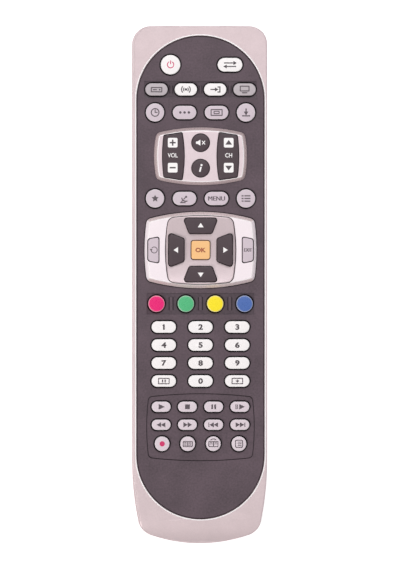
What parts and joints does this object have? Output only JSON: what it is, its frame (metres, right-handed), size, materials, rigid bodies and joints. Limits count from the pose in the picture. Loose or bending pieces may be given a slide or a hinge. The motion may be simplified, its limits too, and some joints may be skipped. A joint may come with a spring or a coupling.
{
  "type": "satellite receiver remote control",
  "caption": "Long slim hand-held infrared remote with a slot-shaped dark face, press keys, two rockers, a navigation pad and a sliding battery door.",
  "frame": {"origin": "middle of the flat back, which the remote lies on", "axes": "+Y towards the infrared window in the nose, +Z out of the keys, +X to the right of the keys"},
  "size_m": [0.054, 0.2074, 0.0232],
  "materials": {
    "silver_case": "fine silver lacquer",
    "silver_trim": "fine silver lacquer",
    "dark_panel": "fine matt texture",
    "key_white": "satin",
    "key_grey": "satin",
    "key_dark": "satin",
    "key_orange": "satin",
    "key_red": "satin",
    "key_green": "satin",
    "key_yellow": "satin",
    "key_blue": "satin",
    "board": "solder mask",
    "rubber_mat": "matt",
    "component": "moulded",
    "clear_lens": "clear",
    "dark_window": "polished",
    "cell_wrap": "shrink sleeve",
    "contact_steel": "nickel plated",
    "screw_steel": "zinc plated"
  },
  "bodies": {
    "casing": {"lower_case": "silver_case", "upper_case": "silver_case", "face_panel": "dark_panel", "volume_channel_bezel": "silver_trim", "navigation_bezel": "silver_trim", "navigation_dish": "silver_trim", "circuit_board": "board", "keypad_mat": "rubber_mat", "board_components": "component", "ir_led": "clear_lens", "ir_window": "dark_window", "batteries": "cell_wrap", "battery_plates": "contact_steel", "battery_springs": "contact_steel", "case_screws": "screw_steel"},
    "battery_door": {"battery_door": "silver_case"},
    "av_key": {"av_key": "key_white"},
    "back_key": {"back_key": "key_white"},
    "blue_key": {"blue_key": "key_blue"},
    "clock_key": {"clock_key": "key_white"},
    "digit_0_key": {"digit_0_key": "key_white"},
    "digit_1_key": {"digit_1_key": "key_white"},
    "digit_2_key": {"digit_2_key": "key_white"},
    "digit_3_key": {"digit_3_key": "key_white"},
    "digit_4_key": {"digit_4_key": "key_white"},
    "digit_5_key": {"digit_5_key": "key_white"},
    "digit_6_key": {"digit_6_key": "key_white"},
    "digit_7_key": {"digit_7_key": "key_white"},
    "digit_8_key": {"digit_8_key": "key_white"},
    "digit_9_key": {"digit_9_key": "key_white"},
    "down_key": {"down_key": "key_dark"},
    "exit_key": {"exit_key": "key_white"},
    "favourite_key": {"favourite_key": "key_white"},
    "format_key": {"format_key": "key_white"},
    "green_key": {"green_key": "key_green"},
    "guide_key": {"guide_key": "key_white"},
    "hold_key": {"hold_key": "key_grey"},
    "info_key": {"info_key": "key_white"},
    "left_key": {"left_key": "key_dark"},
    "menu_key": {"menu_key": "key_white"},
    "mute_key": {"mute_key": "key_white"},
    "ok_key": {"ok_key": "key_orange"},
    "option_key": {"option_key": "key_white"},
    "play_row_keys": {"play_row_keys": "key_grey"},
    "power_key": {"power_key": "key_white"},
    "radio_key": {"radio_key": "key_white"},
    "receiver_key": {"receiver_key": "key_grey"},
    "record_row_keys": {"record_row_keys": "key_grey"},
    "red_key": {"red_key": "key_red"},
    "right_key": {"right_key": "key_dark"},
    "satellite_key": {"satellite_key": "key_white"},
    "save_key": {"save_key": "key_white"},
    "screen_key": {"screen_key": "key_white"},
    "tv_key": {"tv_key": "key_grey"},
    "tv_sat_key": {"tv_sat_key": "key_grey"},
    "up_key": {"up_key": "key_dark"},
    "wind_row_keys": {"wind_row_keys": "key_grey"},
    "yellow_key": {"yellow_key": "key_yellow"},
    "volume_rocker": {"volume_rocker": "key_dark"},
    "channel_rocker": {"channel_rocker": "key_dark"}
  },
  "joints": [
    {"name": "battery_door_slide", "type": "slide", "parent": "casing", "child": "battery_door", "axis": [0, -1, 0], "range_m": [0, 0.07]},
    {"name": "av_key_press", "type": "slide", "parent": "casing", "child": "av_key", "axis": [0, 0, -1], "range_m": [0, 0.001], "stiffness_N_per_m": 300},
    {"name": "back_key_press", "type": "slide", "parent": "casing", "child": "back_key", "axis": [0, 0, -1], "range_m": [0, 0.001], "stiffness_N_per_m": 300},
    {"name": "blue_key_press", "type": "slide", "parent": "casing", "child": "blue_key", "axis": [0, 0, -1], "range_m": [0, 0.001], "stiffness_N_per_m": 300},
    {"name": "clock_key_press", "type": "slide", "parent": "casing", "child": "clock_key", "axis": [0, 0, -1], "range_m": [0, 0.001], "stiffness_N_per_m": 300},
    {"name": "digit_0_key_press", "type": "slide", "parent": "casing", "child": "digit_0_key", "axis": [0, 0, -1], "range_m": [0, 0.001], "stiffness_N_per_m": 300},
    {"name": "digit_1_key_press", "type": "slide", "parent": "casing", "child": "digit_1_key", "axis": [0, 0, -1], "range_m": [0, 0.001], "stiffness_N_per_m": 300},
    {"name": "digit_2_key_press", "type": "slide", "parent": "casing", "child": "digit_2_key", "axis": [0, 0, -1], "range_m": [0, 0.001], "stiffness_N_per_m": 300},
    {"name": "digit_3_key_press", "type": "slide", "parent": "casing", "child": "digit_3_key", "axis": [0, 0, -1], "range_m": [0, 0.001], "stiffness_N_per_m": 300},
    {"name": "digit_4_key_press", "type": "slide", "parent": "casing", "child": "digit_4_key", "axis": [0, 0, -1], "range_m": [0, 0.001], "stiffness_N_per_m": 300},
    {"name": "digit_5_key_press", "type": "slide", "parent": "casing", "child": "digit_5_key", "axis": [0, 0, -1], "range_m": [0, 0.001], "stiffness_N_per_m": 300},
    {"name": "digit_6_key_press", "type": "slide", "parent": "casing", "child": "digit_6_key", "axis": [0, 0, -1], "range_m": [0, 0.001], "stiffness_N_per_m": 300},
    {"name": "digit_7_key_press", "type": "slide", "parent": "casing", "child": "digit_7_key", "axis": [0, 0, -1], "range_m": [0, 0.001], "stiffness_N_per_m": 300},
    {"name": "digit_8_key_press", "type": "slide", "parent": "casing", "child": "digit_8_key", "axis": [0, 0, -1], "range_m": [0, 0.001], "stiffness_N_per_m": 300},
    {"name": "digit_9_key_press", "type": "slide", "parent": "casing", "child": "digit_9_key", "axis": [0, 0, -1], "range_m": [0, 0.001], "stiffness_N_per_m": 300},
    {"name": "down_key_press", "type": "slide", "parent": "casing", "child": "down_key", "axis": [0, 0, -1], "range_m": [0, 0.001], "stiffness_N_per_m": 300},
    {"name": "exit_key_press", "type": "slide", "parent": "casing", "child": "exit_key", "axis": [0, 0, -1], "range_m": [0, 0.001], "stiffness_N_per_m": 300},
    {"name": "favourite_key_press", "type": "slide", "parent": "casing", "child": "favourite_key", "axis": [0, 0, -1], "range_m": [0, 0.001], "stiffness_N_per_m": 300},
    {"name": "format_key_press", "type": "slide", "parent": "casing", "child": "format_key", "axis": [0, 0, -1], "range_m": [0, 0.001], "stiffness_N_per_m": 300},
    {"name": "green_key_press", "type": "slide", "parent": "casing", "child": "green_key", "axis": [0, 0, -1], "range_m": [0, 0.001], "stiffness_N_per_m": 300},
    {"name": "guide_key_press", "type": "slide", "parent": "casing", "child": "guide_key", "axis": [0, 0, -1], "range_m": [0, 0.001], "stiffness_N_per_m": 300},
    {"name": "hold_key_press", "type": "slide", "parent": "casing", "child": "hold_key", "axis": [0, 0, -1], "range_m": [0, 0.001], "stiffness_N_per_m": 300},
    {"name": "info_key_press", "type": "slide", "parent": "casing", "child": "info_key", "axis": [0, 0, -1], "range_m": [0, 0.001], "stiffness_N_per_m": 300},
    {"name": "left_key_press", "type": "slide", "parent": "casing", "child": "left_key", "axis": [0, 0, -1], "range_m": [0, 0.001], "stiffness_N_per_m": 300},
    {"name": "menu_key_press", "type": "slide", "parent": "casing", "child": "menu_key", "axis": [0, 0, -1], "range_m": [0, 0.001], "stiffness_N_per_m": 300},
    {"name": "mute_key_press", "type": "slide", "parent": "casing", "child": "mute_key", "axis": [0, 0, -1], "range_m": [0, 0.001], "stiffness_N_per_m": 300},
    {"name": "ok_key_press", "type": "slide", "parent": "casing", "child": "ok_key", "axis": [0, 0, -1], "range_m": [0, 0.001], "stiffness_N_per_m": 300},
    {"name": "option_key_press", "type": "slide", "parent": "casing", "child": "option_key", "axis": [0, 0, -1], "range_m": [0, 0.001], "stiffness_N_per_m": 300},
    {"name": "play_row_keys_press", "type": "slide", "parent": "casing", "child": "play_row_keys", "axis": [0, 0, -1], "range_m": [0, 0.001], "stiffness_N_per_m": 300},
    {"name": "power_key_press", "type": "slide", "parent": "casing", "child": "power_key", "axis": [0, 0, -1], "range_m": [0, 0.001], "stiffness_N_per_m": 300},
    {"name": "radio_key_press", "type": "slide", "parent": "casing", "child": "radio_key", "axis": [0, 0, -1], "range_m": [0, 0.001], "stiffness_N_per_m": 300},
    {"name": "receiver_key_press", "type": "slide", "parent": "casing", "child": "receiver_key", "axis": [0, 0, -1], "range_m": [0, 0.001], "stiffness_N_per_m": 300},
    {"name": "record_row_keys_press", "type": "slide", "parent": "casing", "child": "record_row_keys", "axis": [0, 0, -1], "range_m": [0, 0.001], "stiffness_N_per_m": 300},
    {"name": "red_key_press", "type": "slide", "parent": "casing", "child": "red_key", "axis": [0, 0, -1], "range_m": [0, 0.001], "stiffness_N_per_m": 300},
    {"name": "right_key_press", "type": "slide", "parent": "casing", "child": "right_key", "axis": [0, 0, -1], "range_m": [0, 0.001], "stiffness_N_per_m": 300},
    {"name": "satellite_key_press", "type": "slide", "parent": "casing", "child": "satellite_key", "axis": [0, 0, -1], "range_m": [0, 0.001], "stiffness_N_per_m": 300},
    {"name": "save_key_press", "type": "slide", "parent": "casing", "child": "save_key", "axis": [0, 0, -1], "range_m": [0, 0.001], "stiffness_N_per_m": 300},
    {"name": "screen_key_press", "type": "slide", "parent": "casing", "child": "screen_key", "axis": [0, 0, -1], "range_m": [0, 0.001], "stiffness_N_per_m": 300},
    {"name": "tv_key_press", "type": "slide", "parent": "casing", "child": "tv_key", "axis": [0, 0, -1], "range_m": [0, 0.001], "stiffness_N_per_m": 300},
    {"name": "tv_sat_key_press", "type": "slide", "parent": "casing", "child": "tv_sat_key", "axis": [0, 0, -1], "range_m": [0, 0.001], "stiffness_N_per_m": 300},
    {"name": "up_key_press", "type": "slide", "parent": "casing", "child": "up_key", "axis": [0, 0, -1], "range_m": [0, 0.001], "stiffness_N_per_m": 300},
    {"name": "wind_row_keys_press", "type": "slide", "parent": "casing", "child": "wind_row_keys", "axis": [0, 0, -1], "range_m": [0, 0.001], "stiffness_N_per_m": 300},
    {"name": "yellow_key_press", "type": "slide", "parent": "casing", "child": "yellow_key", "axis": [0, 0, -1], "range_m": [0, 0.001], "stiffness_N_per_m": 300},
    {"name": "volume_rocker_tilt", "type": "hinge", "parent": "casing", "child": "volume_rocker", "pos_m": [-0.0109, 0.0513, 0.02], "axis": [1, 0, 0], "range_deg": [-3, 3], "stiffness_Nm_per_rad": 0.1},
    {"name": "channel_rocker_tilt", "type": "hinge", "parent": "casing", "child": "channel_rocker", "pos_m": [0.0109, 0.0513, 0.02], "axis": [1, 0, 0], "range_deg": [-3, 3], "stiffness_Nm_per_rad": 0.1}
  ]
}
